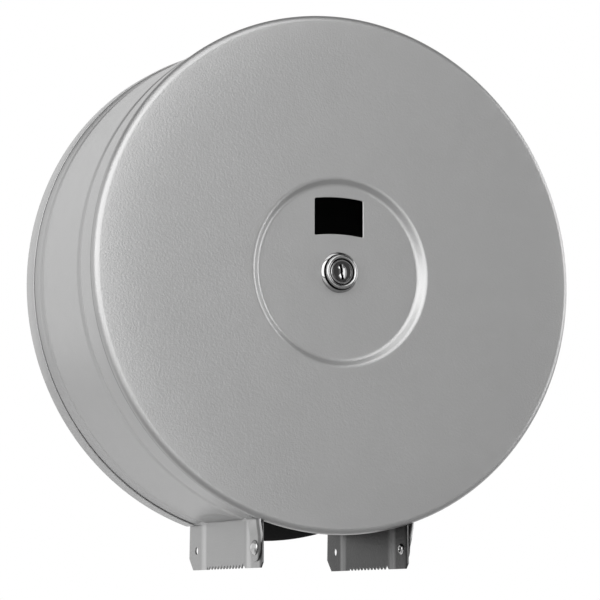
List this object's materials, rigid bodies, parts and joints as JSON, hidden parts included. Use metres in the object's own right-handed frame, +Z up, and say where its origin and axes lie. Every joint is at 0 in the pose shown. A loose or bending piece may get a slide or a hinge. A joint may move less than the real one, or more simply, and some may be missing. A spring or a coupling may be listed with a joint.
{
  "type": "jumbo toilet roll dispenser",
  "caption": "Round wall-mounted steel dispenser for a jumbo toilet roll, with a drop-down cover, cam lock, sight window, turning hub and toothed outlet tabs.",
  "frame": {"origin": "Middle of the flat back of the tray, on the wall plane and on the axis of the round body.", "axes": "+X is to the right as seen from the front, +Y points into the wall and +Z is up. The cover faces -Y and the paper outlet faces -Z."},
  "size_m": [0.311, 0.1248, 0.3298],
  "materials": {
    "grey_paint": "satin silver-grey powder coat with a fine orange-peel texture",
    "black_plastic": "matt black moulded plastic",
    "zinc_steel": "bright zinc-plated steel",
    "turned_steel": "turned plain steel",
    "bright_rivet": "bright nickel-plated steel",
    "lock_chrome": "polished chrome on a die-cast lock",
    "white_nylon": "natural white nylon"
  },
  "bodies": {
    "housing": {"back_tray": "grey_paint", "back_liner": "black_plastic", "side_strip": "grey_paint", "strip_brackets": "zinc_steel", "bracket_rivets": "zinc_steel", "spindle_base": "zinc_steel", "base_screws": "zinc_steel", "spindle": "turned_steel", "rear_washer": "white_nylon", "front_washer": "zinc_steel", "retaining_clip": "turned_steel", "lock_keeper": "zinc_steel", "keeper_screw": "zinc_steel", "hinge_rivets": "bright_rivet"},
    "cover": {"front_cover": "grey_paint", "lock_barrel": "lock_chrome", "lock_washer": "zinc_steel", "lock_nut": "zinc_steel"},
    "lock_core": {"lock_plug": "lock_chrome", "lock_cam": "zinc_steel", "cam_washer": "zinc_steel", "cam_screw": "zinc_steel"},
    "hub": {"roll_hub": "black_plastic", "hub_disc": "black_plastic", "rear_bush": "white_nylon", "front_bush": "white_nylon"}
  },
  "joints": [
    {"name": "cover_hinge", "type": "hinge", "parent": "housing", "child": "cover", "pos_m": [0, -0.109, -0.1625], "axis": [1, 0, 0], "range_deg": [0, 175]},
    {"name": "lock_turn", "type": "hinge", "parent": "cover", "child": "lock_core", "pos_m": [0, -0.115, 0], "axis": [0, 1, 0], "range_deg": [0, 90]},
    {"name": "hub_spin", "type": "hinge", "parent": "housing", "child": "hub", "pos_m": [0, -0.05, 0], "axis": [0, 1, 0], "continuous": true}
  ]
}
